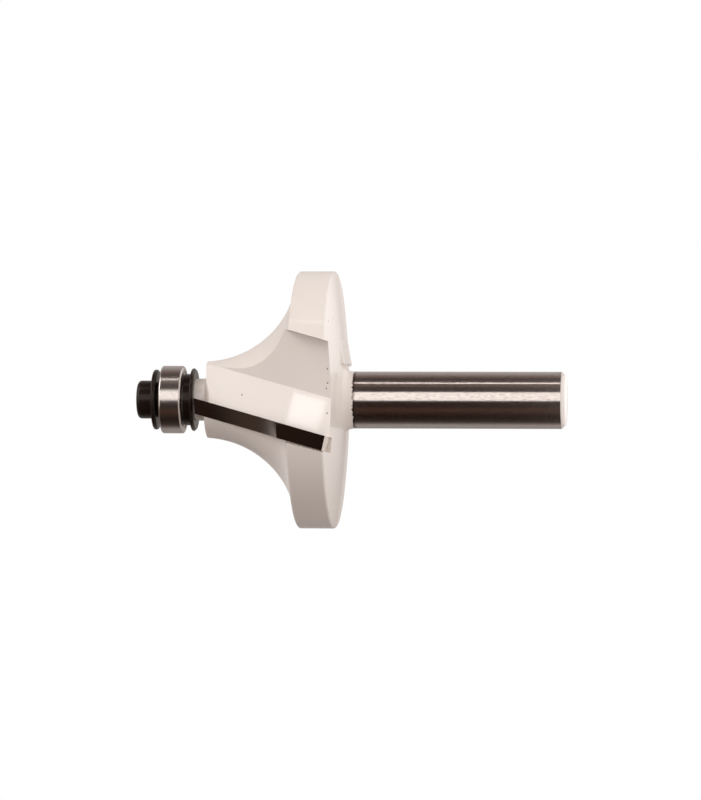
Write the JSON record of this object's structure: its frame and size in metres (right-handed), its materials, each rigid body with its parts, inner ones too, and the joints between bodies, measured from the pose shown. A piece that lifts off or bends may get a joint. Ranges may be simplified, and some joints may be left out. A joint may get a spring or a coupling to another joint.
{
  "type": "router bit",
  "caption": "Rounding-over router bit: shank, coved body with sheared carbide tips and wide gullets, and a free-turning ball-bearing guide under a cap screw.",
  "frame": {"origin": "centre of the shank's end face", "axes": "+Z along the bit's axis, from the shank end to the nose; the first cutting edge is on the -Y side"},
  "size_m": [0.0572, 0.0574, 0.0957],
  "materials": {
    "coated_steel": "satin coating on the body, ground steel on the shank",
    "carbide": "dark polished carbide",
    "black_steel": "black oxide, lightly oiled",
    "bearing_steel": "ground and polished",
    "shield_steel": "pressed sheet",
    "cage_steel": "pressed sheet"
  },
  "bodies": {
    "cutter": {"cutter_body": "coated_steel", "carbide_tip_1": "carbide", "carbide_tip_2": "carbide", "rear_washer": "black_steel", "bearing_spacer": "black_steel", "front_washer": "black_steel", "cap_screw": "black_steel", "bearing_inner_ring": "bearing_steel"},
    "guide_ring": {"bearing_outer_ring": "bearing_steel", "rear_shield": "shield_steel", "front_shield": "shield_steel"},
    "cage": {"cage_front_half": "cage_steel", "cage_rear_half": "cage_steel", "cage_rivets": "cage_steel"},
    "ball_1": {"ball_1": "bearing_steel"},
    "ball_2": {"ball_2": "bearing_steel"},
    "ball_3": {"ball_3": "bearing_steel"},
    "ball_4": {"ball_4": "bearing_steel"},
    "ball_5": {"ball_5": "bearing_steel"},
    "ball_6": {"ball_6": "bearing_steel"},
    "ball_7": {"ball_7": "bearing_steel"}
  },
  "joints": [
    {"name": "guide_spin", "type": "hinge", "parent": "cutter", "child": "guide_ring", "pos_m": [0, 0, 0.08771], "axis": [0, 0, 1], "continuous": true},
    {"name": "cage_spin", "type": "hinge", "parent": "cutter", "child": "cage", "pos_m": [0, 0, 0.08771], "axis": [0, 0, 1], "continuous": true},
    {"name": "ball_1_spin", "type": "hinge", "parent": "cage", "child": "ball_1", "pos_m": [0.0051, 0, 0.08771], "axis": [0, 0, 1], "continuous": true},
    {"name": "ball_2_spin", "type": "hinge", "parent": "cage", "child": "ball_2", "pos_m": [0.00318, 0.00399, 0.08771], "axis": [0, 0, 1], "continuous": true},
    {"name": "ball_3_spin", "type": "hinge", "parent": "cage", "child": "ball_3", "pos_m": [-0.00113, 0.00497, 0.08771], "axis": [0, 0, 1], "continuous": true},
    {"name": "ball_4_spin", "type": "hinge", "parent": "cage", "child": "ball_4", "pos_m": [-0.0046, 0.00221, 0.08771], "axis": [0, 0, 1], "continuous": true},
    {"name": "ball_5_spin", "type": "hinge", "parent": "cage", "child": "ball_5", "pos_m": [-0.0046, -0.00221, 0.08771], "axis": [0, 0, 1], "continuous": true},
    {"name": "ball_6_spin", "type": "hinge", "parent": "cage", "child": "ball_6", "pos_m": [-0.00113, -0.00497, 0.08771], "axis": [0, 0, 1], "continuous": true},
    {"name": "ball_7_spin", "type": "hinge", "parent": "cage", "child": "ball_7", "pos_m": [0.00318, -0.00399, 0.08771], "axis": [0, 0, 1], "continuous": true}
  ],
  "couplings": [
    {"joint": "cage_spin", "follows": "guide_spin", "ratio": 0.61672},
    {"joint": "ball_1_spin", "follows": "guide_spin", "ratio": 2.0253},
    {"joint": "ball_2_spin", "follows": "guide_spin", "ratio": 2.0253},
    {"joint": "ball_3_spin", "follows": "guide_spin", "ratio": 2.0253},
    {"joint": "ball_4_spin", "follows": "guide_spin", "ratio": 2.0253},
    {"joint": "ball_5_spin", "follows": "guide_spin", "ratio": 2.0253},
    {"joint": "ball_6_spin", "follows": "guide_spin", "ratio": 2.0253},
    {"joint": "ball_7_spin", "follows": "guide_spin", "ratio": 2.0253}
  ]
}
